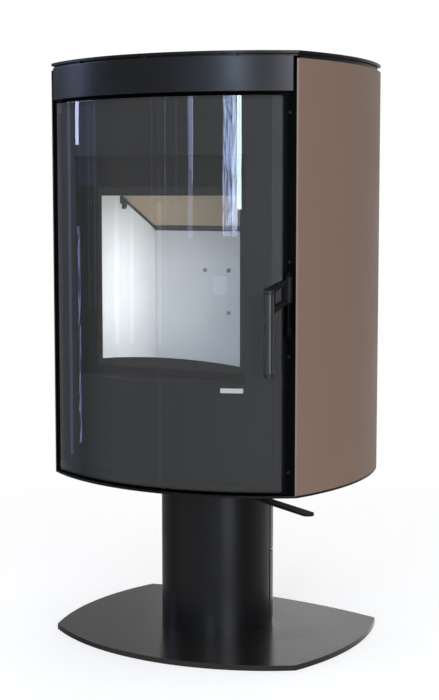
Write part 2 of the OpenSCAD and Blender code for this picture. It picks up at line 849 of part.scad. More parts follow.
module clip_screw_holes(r)
    for (x = [-1, 1], z = clip_z) translate([x * clip_x, pane_y - 20, z]) rotate([-90, 0, 0])
        cylinder(r = r, h = 40, $fn = round_fn);

module inner_glass_clips() {
    color("#77797c") difference() {
        for (m = [0, 1], z = clip_z) mirror([m, 0, 0]) {
            block([pane_hw - 8, pane_y - glass_t - 1.5, z - 8], [pane_hw + 2, pane_y - glass_t, z + 8]);
            block([pane_hw + 0.5, pane_y - glass_t - 1.5, z - 8], [pane_hw + 2, pane_y, z + 8]);
            block([pane_hw + 2, pane_y - 1.5, z - 8], [field_hw - 1, pane_y, z + 8]);
        }
        clip_screw_holes(m4 / 2 + 0.5 + screw_fit);
    }
}

module clip_screws() {
    color("#8c8f93") for (x = [-1, 1], z = clip_z)
        translate([x * clip_x, pane_y - 1.5, z]) screw_y(m4 / 2 + 0.5, 1.5 + door_plate_t);
}

gasket_w = 12;
gasket_in = 14;

module door_gasket() {
    hw = door_hw - gasket_in;
    low = frame_low + 14;
    high = frame_high - 14;
    color("#c9c6bd") difference() {
        block([-hw, door_back_y, low], [hw, front_plate_y - clear, high]);
        block([-hw + gasket_w, door_back_y - over, low + gasket_w], [hw - gasket_w, front_plate_y, high - gasket_w]);
    }
}

module name_plate() {
    color("#c4c6c8") translate([0, 0, field_z0 - 15]) linear_extrude(8.5) intersection() {
        difference() {
            front_disc(-0.5);
            front_disc(0);
        }
        translate([field_hw - 37, -big]) square([38, big]);
    }
}

// ---- Handle and latch ----

module pivot_place() translate([pivot_x, pivot_y, 0]) children();
module bar_place() translate([pivot_x - bar_lean, pivot_y - bar_out, 0]) children();

hub_r = 7;
lug_t = 6;
hub_low = bar_high - strut_h + strut_rise;
hub_high = bar_high + strut_rise;
lug_z = [tongue_z - lug_t - 1, hub_high + 1];

module handle_lugs() {
    color("#26262a") for (z = lug_z) difference() {
        union() {
            pivot_place() pin(hub_r, z, z + lug_t);
            block([door_hw, max(pivot_y - 2, front_y(glass_hw, glass_t) + 0.6), z], [pivot_x, pivot_y + 6, z + lug_t]);
        }
        pivot_place() pin(shaft_r + run_fit, z - over, z + lug_t + over);
    }
}

module handle_bracket() {
    plate = 5;
    rim = 9;
    rise = strut_rise / bar_reach;
    s0 = hub_r + 6;
    s1 = bar_reach - bar_d / 2 - 7;
    color("#1d1e21") difference() {
        union() {
            pivot_place() pin(hub_r, hub_low, hub_high);
            pivot_place() rotate([0, 0, bar_angle]) rotate([90, 0, 0]) linear_extrude(plate, center = true) difference() {
                polygon([[0, hub_low], [bar_reach, bar_high - strut_h], [bar_reach, bar_high], [0, hub_high]]);
                polygon([[s0, hub_low + rim - s0 * rise], [s1, hub_low + rim - s1 * rise],
                         [s1, hub_high - rim - s1 * rise], [s0, hub_high - rim - s0 * rise]]);
            }
        }
        pivot_place() pin(shaft_r + screw_fit, bar_low, hub_high + over);
        bar_place() pin(bar_d / 2, bar_low - over, bar_high + over);
    }
}

module handle_bar() color("#33363b") bar_place() pin(bar_d / 2, bar_low + cap_h, bar_high - cap_h);

module handle_caps() {
    color("#0e0e10") bar_place() {
        pin(bar_d / 2, bar_low, bar_low + cap_h);
        pin(bar_d / 2, bar_high - cap_h, bar_high);
    }
}

module latch_shaft() {
    color("#9a9da0") pivot_place() {
        pin(shaft_r, lug_z[0] - 2, lug_z[1] + lug_t + 2);
        difference() {
            union() {
                pin(hub_r, tongue_z, tongue_z + tongue_h);
                block([-tongue_w / 2, 0, tongue_z], [tongue_w / 2, tongue_len, tongue_z + tongue_h]);
            }
            pin(shaft_r, tongue_z - over, tongue_z + tongue_h + over);
        }
    }
}

// ---- Air lever ----

lever_pin_r = 5;

module air_lever() {
    color("#131314") lever_place() rotate([0, 0, lever_angle]) difference() {
        translate([0, 0, lever_z]) linear_extrude(lever_t) {
            circle(r = lever_w / 2 + 3, $fn = round_fn);
            translate([0, -lever_w / 2]) square([lever_len, lever_w]);
            translate([lever_len, 0]) circle(r = lever_w / 2, $fn = round_fn);
        }
        pin(lever_pin_r + screw_fit, lever_z - over, lever_z + lever_t + over);
    }
}

module lever_pivot() {
    top = deck_z + clear + register_t;
    color("#9a9da0") lever_place() {
        pin(lever_pin_r, lever_z - 1, top + 4);
        pin(lever_pin_r + 3.5, lever_z - 5, lever_z - 1);
        tube(lever_pin_r + 3, lever_pin_r, lever_z + lever_t, body_z - clear);
    }
}

module air_register() {
    color("#6a6c6f") lever_place() difference() {
        pin(register_r, deck_z + clear, deck_z + clear + register_t);
        pin(lever_pin_r + screw_fit, deck_z, deck_z + 10);
        at_circle(port_pcd, 6, 15) pin(port_r, deck_z, deck_z + 10);
    }
}

base_plate();
pedestal_column();
column_bolts();
column_cover();
column_cover_screws();
air_inlet_collar();
air_duct();
bottom_plate();
air_box();
firebox_supports();
ash_housing();
ash_pan();
firebox_body();
firebox_front();
lining_left();
lining_right();
lining_back();
fire_floor();
grate();
log_guard();
baffle();
baffle_rail();
baffle_brackets();
smoke_plate();
air_wash_duct();
flue_collar();
heat_shields();
front_post_left();
front_post_right();
post_screws();
side_panel_left();
side_panel_right();
back_panel();
back_panel_screws();
rear_flue_cover();
fascia();
top_deck();
top_spacers();
top_plate();
hinge_brackets();
hinge_pins();
latch_keeper();
door_frame();
door_back_plate();
door_hinge_blocks();
door_glass();
glass_seal();
inner_glass();
inner_glass_clips();
clip_screws();
door_gasket();
name_plate();
handle_lugs();
handle_bracket();
handle_bar();
handle_caps();
latch_shaft();
air_lever();
lever_pivot();
air_register();
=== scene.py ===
from math import asin, atan2, cos, pi, radians, sin
import bmesh
import bpy
from mathutils import Matrix, Vector


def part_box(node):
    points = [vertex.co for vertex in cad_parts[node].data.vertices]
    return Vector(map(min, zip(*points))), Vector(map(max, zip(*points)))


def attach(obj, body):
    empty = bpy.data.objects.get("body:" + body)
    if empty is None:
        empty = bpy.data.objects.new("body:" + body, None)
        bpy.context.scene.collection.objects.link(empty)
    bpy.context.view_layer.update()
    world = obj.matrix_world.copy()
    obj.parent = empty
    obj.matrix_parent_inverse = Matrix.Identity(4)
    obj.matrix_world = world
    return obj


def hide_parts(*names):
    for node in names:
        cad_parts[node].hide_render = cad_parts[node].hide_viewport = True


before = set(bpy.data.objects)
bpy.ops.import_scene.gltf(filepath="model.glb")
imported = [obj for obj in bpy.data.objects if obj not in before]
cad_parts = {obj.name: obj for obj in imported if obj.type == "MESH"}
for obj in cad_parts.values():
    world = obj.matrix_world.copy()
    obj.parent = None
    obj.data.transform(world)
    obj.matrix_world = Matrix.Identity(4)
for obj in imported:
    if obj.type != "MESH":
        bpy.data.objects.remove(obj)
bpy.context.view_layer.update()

scene = bpy.context.scene
scene.view_settings.view_transform = "Standard"

# ---- Studio ----
# The stove stands on a pale floor that fades into a white room, seen a little from its right.
# Soft boxes stand in front of it, and tall narrow lamps give the stripes in the curved glass.

view = bpy.data.objects.new("studio_camera", bpy.data.cameras.new("studio_camera"))
scene.collection.objects.link(view)
view.location = (1.4325, -2.5017, 0.8519)
view.rotation_euler = (radians(90 - 5.92), 0, radians(29.71))
view.data.lens = 76.09
view.data.sensor_width = 36
scene.camera = view

room = bpy.data.worlds.new("white_room")
scene.world = room
room.use_nodes = True
nodes, links = room.node_tree.nodes, room.node_tree.links
nodes.clear()
way = nodes.new("ShaderNodeTexCoord")
round_about = nodes.new("ShaderNodeTexGradient")  # how bright the room is, all the way round it
round_about.gradient_type = "RADIAL"
walls = nodes.new("ShaderNodeValToRGB")
room_light = ((-75, 0.15), (-58, 0.33), (-45, 0.43), (-15, 0.45), (25, 0.48), (60, 0.50), (80, 0.16),
              (95, 0.16), (108, 0.34), (136, 0.52), (160, 0.62), (192, 0.95), (209, 0.95), (212, 0.38))
for turned, brightness in room_light:
    stop = walls.color_ramp.elements.new(0.25 + turned / 360)
    stop.color = (brightness, brightness, brightness, 1)
for end in (walls.color_ramp.elements[0], walls.color_ramp.elements[-1]):
    end.color = (0.17, 0.17, 0.19, 1)
backdrop = nodes.new("ShaderNodeLightPath")
level = nodes.new("ShaderNodeMix")
level.data_type = "RGBA"
level.inputs["B"].default_value = (1, 1, 1, 1)
glow = nodes.new("ShaderNodeBackground")
out = nodes.new("ShaderNodeOutputWorld")
links.new(way.outputs["Generated"], round_about.inputs["Vector"])
links.new(round_about.outputs["Fac"], walls.inputs["Fac"])
links.new(walls.outputs["Color"], level.inputs["A"])
links.new(backdrop.outputs["Is Camera Ray"], level.inputs["Factor"])
links.new(level.outputs["Result"], glow.inputs["Color"])
links.new(glow.outputs["Background"], out.inputs["Surface"])


def lamp(name, place, aim, size, power, tint=(1, 1, 1), spread=180, mirrored=True, lit=True):
    """A soft box at place that faces aim, size wide and high. It can light sheen only, or all but sheen."""
    data = bpy.data.lights.new(name, "AREA")
    data.shape = "RECTANGLE"
    data.size, data.size_y = size
    data.energy = power
    data.color = tint
    data.spread = radians(spread)
    box = bpy.data.objects.new(name, data)
    box.location = place
    box.rotation_euler = (Vector(aim) - Vector(place)).to_track_quat("-Z", "Y").to_euler()
    box.visible_camera = False
    box.visible_transmission = False
    box.visible_glossy = mirrored
    box.visible_diffuse = lit
    scene.collection.objects.link(box)


stripe_away, pane_y = 4, -0.2


def stripe(name, azimuth, low, high, width, brightness, tint):
    """A narrow upright lamp far from the glass, between two heights, for one stripe in it."""
    turned, level = radians(azimuth), (low + high) / 2
    lamp(name, (stripe_away * sin(turned), pane_y - stripe_away * cos(turned), level), (0, pane_y, level),
         (width, high - low), pi * brightness * width * (high - low), tint)


lamp("soft_box_right", (2.44, -1.90, 1.15), (0, 0, 1.15), (0.98, 2.9), 45, (0.86, 0.90, 1.0))
lamp("soft_box_left", (-3.15, -0.15, 2.6), (0, 0, 0.7), (1.3, 1.4), 88, (0.34, 0.62, 1.0), lit=False)
lamp("sheen_right", (3.15, -2.4, 2.1), (0, -0.2, 1.07), (1.4, 1.1), 115, (0.82, 0.83, 1.0), lit=False)
lamp("soft_box_top", (0, 0, 3.4), (0, 0, 0), (3.0, 3.0), 42)
lamp("chamber_lamp", (0.185, -0.125, 0.69), (-0.2, -0.035, 0.68), (0.10, 0.22), 0.255,
     (1.0, 0.985, 0.97), spread=60, mirrored=False)
stripe("stripe_far_left", -87.0, -0.3, 3.0, 0.20, 0.50, (0.60, 0.57, 1.0))
stripe("panel_left", -71.0, 0.90, 3.0, 1.10, 0.26, (0.25, 0.45, 1.0))
stripe("stripe_left", -79.2, 1.08, 3.0, 0.22, 11.0, (0.62, 0.66, 1.0))
stripe("stripe_left_low", -78.6, -0.25, 0.72, 0.16, 2.2, (0.45, 0.44, 1.0))
for turned, low, high, width, brightness in ((-70.0, 0.35, 3.0, 0.08, 0.28), (-65.0, 0.35, 3.0, 0.08, 0.38),
                                             (-27.6, 0.5, 3.0, 0.06, 0.50), (-23.6, -0.5, 3.0, 0.15, 0.25),
                                             (-20.0, 0.2, 3.0, 0.06, 1.10), (-14.0, 0.5, 3.0, 0.10, 0.40)):
    stripe("stripe_faint", turned, low, high, width, brightness, (0.60, 0.62, 1.0))
for turned, width in ((-50.0, 0.22), (-40.0, 0.13), (-23.4, 0.18)):
    stripe("stripe_low", turned, 0.20, 0.83, width, 1.1, (1.0, 1.0, 1.0))
stripe("stripe_middle", -6.2, 0.67, 3.0, 0.20, 3.0, (0.50, 0.57, 1.0))
stripe("stripe_middle_top", -6.0, 0.98, 3.0, 0.13, 2.6, (0.50, 0.57, 1.0))
stripe("stripe_middle_edge", -5.0, 0.90, 3.0, 0.03, 5.0, (0.9, 0.95, 1.0))
stripe("stripe_right", 14.4, 0.68, 3.0, 0.52, 11.5, (0.48, 0.62, 1.0))
stripe("stripe_right_inner", 16.4, 0.70, 3.0, 0.13, 9.0, (0.58, 0.78, 1.0))
stripe("stripe_right_edge", 19.0, 0.80, 3.0, 0.16, 23.0, (0.82, 0.97, 1.0))
stripe("small_window", 9.2, 0.42, 0.50, 0.50, 1.5, (0.80, 0.86, 1.0))
stripe("stripe_far_right", 38.0, 0.45, 3.0, 0.38, 0.60, (0.75, 0.85, 1.0))

# Two of the stripes are windows with trees outside, which break their light up
for window, thick, thin in (("stripe_right", 0.14, 1.25), ("stripe_left_low", 0.0, 1.6)):
    outside = bpy.data.lights[window]
    outside.use_nodes = True
    nodes, links = outside.node_tree.nodes, outside.node_tree.links
    where = nodes.new("ShaderNodeNewGeometry")
    drawn = nodes.new("ShaderNodeMapping")
    drawn.inputs["Scale"].default_value = (1.0, 1.0, 0.5)
    trees = nodes.new("ShaderNodeTexNoise")
    trees.inputs["Scale"].default_value = 9.0
    trees.inputs["Detail"].default_value = 3.0
    trees.inputs["Distortion"].default_value = 2.2
    gaps = nodes.new("ShaderNodeMapRange")
    gaps.inputs["From Min"].default_value = 0.46
    gaps.inputs["From Max"].default_value = 0.54
    gaps.inputs["To Min"].default_value = thick
    gaps.inputs["To Max"].default_value = thin
    links.new(where.outputs["Position"], drawn.inputs["Vector"])
    links.new(drawn.outputs["Vector"], trees.inputs["Vector"])
    links.new(trees.outputs["Fac"], gaps.inputs["Value"])
    links.new(gaps.outputs["Result"], nodes["Emission"].inputs["Strength"])

floor_r, fade_from, fade_to = 1.9, 0.75, 1.8   # the floor fades out before its rim
ground = bmesh.new()
bmesh.ops.create_circle(ground, cap_ends=True, segments=96, radius=floor_r)
ground_mesh = bpy.data.meshes.new("studio_floor")
ground.to_mesh(ground_mesh)
ground.free()
floor = bpy.data.objects.new("studio_floor", ground_mesh)
floor.location = (0, 0, -0.0005)
floor.visible_glossy = False
scene.collection.objects.link(floor)
pale = bpy.data.materials.new("pale floor")
pale.use_nodes = True
nodes, links = pale.node_tree.nodes, pale.node_tree.links
skin = nodes["Principled BSDF"]
skin.inputs["Base Color"].default_value = (0.55, 0.55, 0.55, 1)
skin.inputs["Emission Color"].default_value = (1, 0.99, 0.975, 1)
skin.inputs["Emission Strength"].default_value = 0.56
skin.inputs["Roughness"].default_value = 0.9
skin.inputs["Specular IOR Level"].default_value = 0.0
spot = nodes.new("ShaderNodeTexCoord")
reach = nodes.new("ShaderNodeVectorMath")
reach.operation = "LENGTH"
fade = nodes.new("ShaderNodeMapRange")
fade.interpolation_type = "SMOOTHSTEP"
fade.inputs["From Min"].default_value = fade_from
fade.inputs["From Max"].default_value = fade_to
fade.inputs["To Min"].default_value = 1.0
fade.inputs["To Max"].default_value = 0.0
links.new(spot.outputs["Object"], reach.inputs[0])
links.new(reach.outputs["Value"], fade.inputs["Value"])
links.new(fade.outputs["Result"], skin.inputs["Alpha"])
floor.data.materials.append(pale)

# ---- Base plate ----
# A 10 mm steel plate cut to the same bowed outline as the body, its edges broken by hand
# and sprayed with a thick satin black paint. It stands flat on the floor.


def eased(node, body, slot, finish, edge=0.0004, steps=2, sharp=32):
    """The cut part with its edges broken to a small radius, in place of the plain one."""
    weld, flat_within = 2e-6, radians(0.2)
    cut = bmesh.new()
    cut.from_mesh(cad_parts[node].data)
    bmesh.ops.remove_doubles(cut, verts=cut.verts, dist=weld)
    bmesh.ops.dissolve_limit(cut, angle_limit=flat_within, verts=cut.verts, edges=cut.edges)
    corners = [e for e in cut.edges if len(e.link_faces) == 2 and e.calc_face_angle(0) > radians(sharp)]
    bmesh.ops.bevel(cut, geom=corners, offset=edge, offset_type="OFFSET", segments=steps,
                    affect="EDGES", profile=0.5, clamp_overlap=True, material=-1)
    return made(cut, node + "_part", body, slot, finish, node)


def made(cut, name, body, slot, finish, *stands_for):
    """Puts a finished shape in the scene, riding on its body."""
    for face in cut.faces:
        face.smooth = True
    mesh = bpy.data.meshes.new(name)
    cut.to_mesh(mesh)
    cut.free()
    mesh.materials.append(finish)
    piece = bpy.data.objects.new(name, mesh)
    scene.collection.objects.link(piece)
    even = piece.modifiers.new("even_shading", "WEIGHTED_NORMAL")
    even.keep_sharp = True
    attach(piece, body)
    if stands_for:
        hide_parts(*stands_for)
    return piece


def new_group(name, inputs, outputs):
    """An empty node group with value sockets for one effect that several finishes share."""
    group = bpy.data.node_groups.new(name, "ShaderNodeTree")
    for label, value in inputs:
        socket = group.interface.new_socket(label, in_out="INPUT", socket_type="NodeSocketFloat")
        socket.default_value = value
    for label in outputs:
        group.interface.new_socket(label, in_out="OUTPUT", socket_type="NodeSocketFloat")
    return group, group.nodes.new("NodeGroupInput"), group.nodes.new("NodeGroupOutput")


# Fine grain: the orange peel or cast skin of a surface, and broad soft patches of sheen
fine_grain, given, gives = new_group("fine grain", [("Scale", 900.0), ("Patch Scale", 9.0)],
                                     ["Grain", "Patches"])
nodes, links = fine_grain.nodes, fine_grain.links
where = nodes.new("ShaderNodeTexCoord")
peel = nodes.new("ShaderNodeTexNoise")
peel.inputs["Detail"].default_value = 3.0
peel.inputs["Roughness"].default_value = 0.55
patch = nodes.new("ShaderNodeTexNoise")
links.new(where.outputs["Object"], peel.inputs["Vector"])
links.new(where.outputs["Object"], patch.inputs["Vector"])
links.new(given.outputs["Scale"], peel.inputs["Scale"])
links.new(given.outputs["Patch Scale"], patch.inputs["Scale"])
links.new(peel.outputs["Fac"], gives.inputs["Grain"])
links.new(patch.outputs["Fac"], gives.inputs["Patches"])

# Edge wear: where an edge is rounded off the paint is thinner and a little rubbed
edge_wear, given, gives = new_group("edge wear", [("Amount", 0.5), ("Break Up", 60.0)], ["Mask"])
nodes, links = edge_wear.nodes, edge_wear.links
round_off = nodes.new("ShaderNodeBevel")
round_off.inputs["Radius"].default_value = 0.0009
true_way = nodes.new("ShaderNodeNewGeometry")
turn = nodes.new("ShaderNodeVectorMath")
turn.operation = "DOT_PRODUCT"
bare = nodes.new("ShaderNodeMapRange")
bare.inputs["From Min"].default_value = 0.995
bare.inputs["From Max"].default_value = 0.90
where = nodes.new("ShaderNodeTexCoord")
rub = nodes.new("ShaderNodeTexNoise")
rub.inputs["Detail"].default_value = 4.0
rubbed = nodes.new("ShaderNodeMapRange")
rubbed.inputs["From Min"].default_value = 0.42
rubbed.inputs["From Max"].default_value = 0.68
both = nodes.new("ShaderNodeMath")
both.operation = "MULTIPLY"
some = nodes.new("ShaderNodeMath")
some.operation = "MULTIPLY"
links.new(round_off.outputs["Normal"], turn.inputs[0])
links.new(true_way.outputs["True Normal"], turn.inputs[1])
links.new(turn.outputs["Value"], bare.inputs["Value"])
links.new(where.outputs["Object"], rub.inputs["Vector"])
links.new(given.outputs["Break Up"], rub.inputs["Scale"])
links.new(rub.outputs["Fac"], rubbed.inputs["Value"])
links.new(bare.outputs["Result"], both.inputs[0])
links.new(rubbed.outputs["Result"], both.inputs[1])
links.new(both.outputs["Value"], some.inputs[0])
links.new(given.outputs["Amount"], some.inputs[1])
links.new(some.outputs["Value"], gives.inputs["Mask"])


def painted(name, colour, rough, gloss=0.5, grain=900.0, depth=0.00003, spread=0.10, worn=0.5,
            worn_colour=(0.16, 0.16, 0.16), shade=0.12, metal=0.0):
    """A sprayed or rolled finish: colour, how rough it is, and how much its grain and sheen vary."""
    finish = bpy.data.materials.new(name)
    finish.use_nodes = True
    nodes, links = finish.node_tree.nodes, finish.node_tree.links
    skin = nodes["Principled BSDF"]
    skin.inputs["Specular IOR Level"].default_value = gloss
    skin.inputs["Metallic"].default_value = metal
    surface = nodes.new("ShaderNodeGroup")
    surface.node_tree = fine_grain
    surface.inputs["Scale"].default_value = grain
    edges = nodes.new("ShaderNodeGroup")
    edges.node_tree = edge_wear
    edges.inputs["Amount"].default_value = worn
    sheen = nodes.new("ShaderNodeMapRange")
    sheen.inputs["From Min"].default_value = 0.3
    sheen.inputs["From Max"].default_value = 0.7
    sheen.inputs["To Min"].default_value = rough - spread / 2
    sheen.inputs["To Max"].default_value = rough + spread / 2
    tone = nodes.new("ShaderNodeMix")
    tone.data_type = "RGBA"
    tone.inputs["A"].default_value = (*[c * (1 - shade) for c in colour], 1)
    tone.inputs["B"].default_value = (*[c * (1 + shade) for c in colour], 1)
    thin = nodes.new("ShaderNodeMix")
    thin.data_type = "RGBA"
    thin.inputs["B"].default_value = (*worn_colour, 1)
    bump = nodes.new("ShaderNodeBump")
    bump.inputs["Distance"].default_value = depth
    links.new(surface.outputs["Patches"], sheen.inputs["Value"])
    links.new(sheen.outputs["Result"], skin.inputs["Roughness"])
    links.new(surface.outputs["Grain"], tone.inputs["Factor"])
    links.new(tone.outputs["Result"], thin.inputs["A"])
    links.new(edges.outputs["Mask"], thin.inputs["Factor"])
    links.new(thin.outputs["Result"], skin.inputs["Base Color"])
    links.new(surface.outputs["Grain"], bump.inputs["Height"])
    links.new(bump.outputs["Normal"], skin.inputs["Normal"])
    return finish


# Its colour is tinted brown: a painted reflection of the brown side panels in the satin plate.
plate_paint_and_reflection_tint = painted("thick satin plate paint with painted reflection tint", (0.0125, 0.0108, 0.0085), 0.20, gloss=0.5, grain=700.0,
                      depth=0.00004, worn=0.35)
eased("base_plate", "stove_body", "base_steel", plate_paint_and_reflection_tint, edge=0.0009, steps=3)

# ---- Pedestal column ----
# A 219.1 mm steel tube with a ring welded in each end, bolted down to the base plate and
# up into the body. Its rear opening, for the air duct, is closed by a rolled sheet cover.

column_paint = painted("satin black column paint", (0.0025, 0.0026, 0.0030), 0.33, gloss=0.34, grain=1100.0,
                       depth=0.00002, worn=0.3)
stove_paint = painted("satin black stove paint", (0.0022, 0.0022, 0.0024), 0.36, gloss=0.20, grain=1100.0,
                      depth=0.00002, worn=0.3)
zinc = painted("zinc plated steel", (0.52, 0.53, 0.54), 0.34, grain=500.0, depth=0.00002, worn=0.0,
               shade=0.10, metal=1.0)
eased("pedestal_column", "stove_body", "black_steel", column_paint)
eased("column_bolts", "stove_body", "zinc_steel", zinc, edge=0.0003)
eased("column_cover", "stove_body", "black_steel", column_paint, edge=0.0002)


def screw_heads(name, body, slot, finish, node, places, radius, shank):
    """Pan head screws with a hexagon socket. A place is where the head sits and where it faces."""
    socket_r, socket_depth, stem_r, under = 0.42 * radius, 0.34 * radius, 0.5 * radius, 0.00002
    rows = bmesh.new()
    for seat, facing in places:
        top = bmesh.ops.create_circle(rows, cap_ends=True, segments=24, radius=radius)["verts"]
        face = top[0].link_faces[0]
        if face.normal.z < 0:
            face.normal_flip()
        whole = set(top)
        for rise, inset in ((0.30, 0.0), (0.12, 0.10), (0.06, 0.16), (0.0, 0.18)):   # shares of the radius
            face = bmesh.ops.extrude_discrete_faces(rows, faces=[face])["faces"][0]
            whole.update(face.verts)
            bmesh.ops.translate(rows, verts=face.verts, vec=(0, 0, rise * radius))
            bmesh.ops.scale(rows, vec=(1 - inset,) * 3, verts=face.verts,
                            space=Matrix.Translation(-face.calc_center_median()))
        socket = bmesh.ops.extrude_discrete_faces(rows, faces=[face])["faces"][0]
        whole.update(socket.verts)
        for corner in socket.verts:                # the round edge becomes the six sides of the socket
            angle = (atan2(corner.co.y, corner.co.x) % (pi / 3)) - pi / 6
            corner.co.xy = corner.co.xy.normalized() * socket_r * cos(pi / 6) / cos(angle)
        bottom = bmesh.ops.extrude_discrete_faces(rows, faces=[socket])["faces"][0]
        whole.update(bottom.verts)
        bmesh.ops.translate(rows, verts=bottom.verts, vec=(0, 0, -socket_depth))
        stem = bmesh.ops.create_cone(rows, cap_ends=True, segments=16, radius1=stem_r, radius2=stem_r,
                                     depth=shank)["verts"]
        bmesh.ops.translate(rows, verts=stem, vec=(0, 0, -shank / 2 - under))
        whole.update(stem)
        turn = Vector(facing).to_track_quat("Z", "Y").to_matrix().to_4x4()
        bmesh.ops.transform(rows, matrix=Matrix.Translation(seat) @ turn, verts=list(whole))
    return made(rows, name, body, slot, finish, node)


cover_r, cover_screw_z = 0.11055, 0.163
screw_heads("cover_screws", "stove_body", "zinc_steel", zinc, "column_cover_screws",
            [((cover_r * cos(radians(a)), cover_r * sin(radians(a)), cover_screw_z),
              (cos(radians(a)), sin(radians(a)), 0)) for a in (15, 165)], radius=0.0038, shank=0.005)

# ---- Outside air collar and duct ----
# A thin spigot under the plate takes the air pipe from the floor, and a straight duct
# inside the column carries the air up to the air box. Both are plain zinc plated steel.

eased("air_inlet_collar", "stove_body", "zinc_steel", zinc, edge=0.0002)
eased("air_duct", "stove_body", "zinc_steel", zinc, edge=0.0002)

# ---- Bottom plate and air box ----
# A 4 mm plate of the body's outline carries everything above it. The air box, the two
# supports and the ash housing are folded sheet, painted matte black before assembly.

heat_paint = painted("matte black heat paint", (0.004, 0.004, 0.0043), 0.60, gloss=0.10, grain=1300.0,
                     depth=0.000004, worn=0.15, shade=0.04)
eased("bottom_plate", "stove_body", "black_steel", stove_paint, edge=0.0005)
eased("air_box", "stove_body", "inner_steel", heat_paint)
eased("firebox_supports", "stove_body", "inner_steel", heat_paint)
eased("ash_housing", "stove_body", "inner_steel", heat_paint)
eased("ash_pan", "stove_body", "inner_steel", heat_paint)

# ---- Firebox ----
# A welded box of 4 mm steel with a front plate that the door closes on. Pale pressed fire
# boards stand against its walls, and a cast grate lies in the floor over the ash pan.


def pressed_board(name, colour, fleck_colour, fleck_scale, fleck_share, rough, depth):
    """Pressed mineral board: soft pits and flecks of mica over an even ground."""
    finish = bpy.data.materials.new(name)
    finish.use_nodes = True
    nodes, links = finish.node_tree.nodes, finish.node_tree.links
    skin = nodes["Principled BSDF"]
    skin.inputs["Specular IOR Level"].default_value = 0.25
    skin.inputs["Roughness"].default_value = rough
    surface = nodes.new("ShaderNodeGroup")
    surface.node_tree = fine_grain
    surface.inputs["Scale"].default_value = 160.0
    surface.inputs["Patch Scale"].default_value = 14.0
    edges = nodes.new("ShaderNodeGroup")
    edges.node_tree = edge_wear
    edges.inputs["Amount"].default_value = 0.5
    where = nodes.new("ShaderNodeTexCoord")
    flake = nodes.new("ShaderNodeTexVoronoi")
    flake.inputs["Scale"].default_value = fleck_scale
    pick = nodes.new("ShaderNodeMapRange")
    pick.inputs["From Min"].default_value = 0.30
    pick.inputs["From Max"].default_value = 0.12
    pick.inputs["To Max"].default_value = fleck_share
    cloud = nodes.new("ShaderNodeMix")
    cloud.data_type = "RGBA"
    cloud.inputs["A"].default_value = (*[c * 0.94 for c in colour], 1)
    cloud.inputs["B"].default_value = (*[min(1, c * 1.05) for c in colour], 1)
    flecks = nodes.new("ShaderNodeMix")
    flecks.data_type = "RGBA"
    flecks.inputs["B"].default_value = (*fleck_colour, 1)
    chipped = nodes.new("ShaderNodeMix")
    chipped.data_type = "RGBA"
    chipped.inputs["B"].default_value = (*[min(1, c * 1.15) for c in colour], 1)
    relief = nodes.new("ShaderNodeMath")
    relief.operation = "ADD"
    bump = nodes.new("ShaderNodeBump")
    bump.inputs["Distance"].default_value = depth
    links.new(where.outputs["Object"], flake.inputs["Vector"])
    links.new(flake.outputs["Distance"], pick.inputs["Value"])
    links.new(surface.outputs["Patches"], cloud.inputs["Factor"])
    links.new(cloud.outputs["Result"], flecks.inputs["A"])
    links.new(pick.outputs["Result"], flecks.inputs["Factor"])
    links.new(flecks.outputs["Result"], chipped.inputs["A"])
    links.new(edges.outputs["Mask"], chipped.inputs["Factor"])
    links.new(chipped.outputs["Result"], skin.inputs["Base Color"])
    links.new(surface.outputs["Grain"], relief.inputs[0])
    links.new(flake.outputs["Distance"], relief.inputs[1])
    links.new(relief.outputs["Value"], bump.inputs["Height"])
    links.new(bump.outputs["Normal"], skin.inputs["Normal"])
    return finish


fire_board = pressed_board("pale fire board", (0.70, 0.70, 0.69), (0.62, 0.60, 0.56),
                           fleck_scale=240.0, fleck_share=0.25, rough=0.85, depth=0.00025)
# The back wall's board is the same pale board made darker: painted shade at the back of the firebox.
back_board_shaded = pressed_board("fire board darkened as painted shade", (0.56, 0.55, 0.54), (0.52, 0.50, 0.47),
                             fleck_scale=240.0, fleck_share=0.25, rough=0.85, depth=0.00025)
cast = painted("rough cast iron", (0.020, 0.0195, 0.019), 0.62, gloss=0.5, grain=420.0, depth=0.00025,
               spread=0.16, worn=0.45, worn_colour=(0.10, 0.095, 0.09))
eased("firebox_body", "stove_body", "inner_steel", heat_paint)
eased("firebox_front", "stove_body", "inner_steel", heat_paint)
for board in ("lining_left", "lining_right", "fire_floor"):
    eased(board, "stove_body", "lining", fire_board, edge=0.0012, steps=3)
# The back lining takes the darker board, as painted shade.
eased("lining_back", "stove_body", "lining", back_board_shaded, edge=0.0012, steps=3)
eased("grate", "stove_body", "cast_iron", cast, edge=0.0012, steps=3)
eased("log_guard", "stove_body", "cast_iron", cast, edge=0.0012, steps=3)

# ---- Baffle and smoke way ----
# A tan vermiculite board lies low at the back on a folded rail and leans forward on two
# side brackets. A steel plate above it turns the smoke towards the flue.

vermiculite = pressed_board("tan vermiculite", (0.42, 0.315, 0.205), (0.60, 0.45, 0.25),
                            fleck_scale=330.0, fleck_share=0.6, rough=0.8, depth=0.0004)
eased("baffle", "stove_body", "baffle_board", vermiculite, edge=0.0015, steps=3)
for folded in ("baffle_rail", "baffle_brackets", "smoke_plate", "air_wash_duct"):
    eased(folded, "stove_body", "inner_steel", heat_paint)

# ---- Flue collar and heat shields ----
# The turned collar sits in the opening of the top plate, sunk below its face. Bare
# aluminised sheets stand in the gap between the firebox and the outer panels.

eased("flue_collar", "stove_body", "cast_iron", cast, edge=0.0008, steps=3)
eased("heat_shields", "stove_body", "zinc_steel", zinc, edge=0.0002)

# ---- Front posts ----
# Angle strips of 3 mm steel stand beside the door and hide the panels' raw edges.
# Four small screws hold each one to the firebox front.

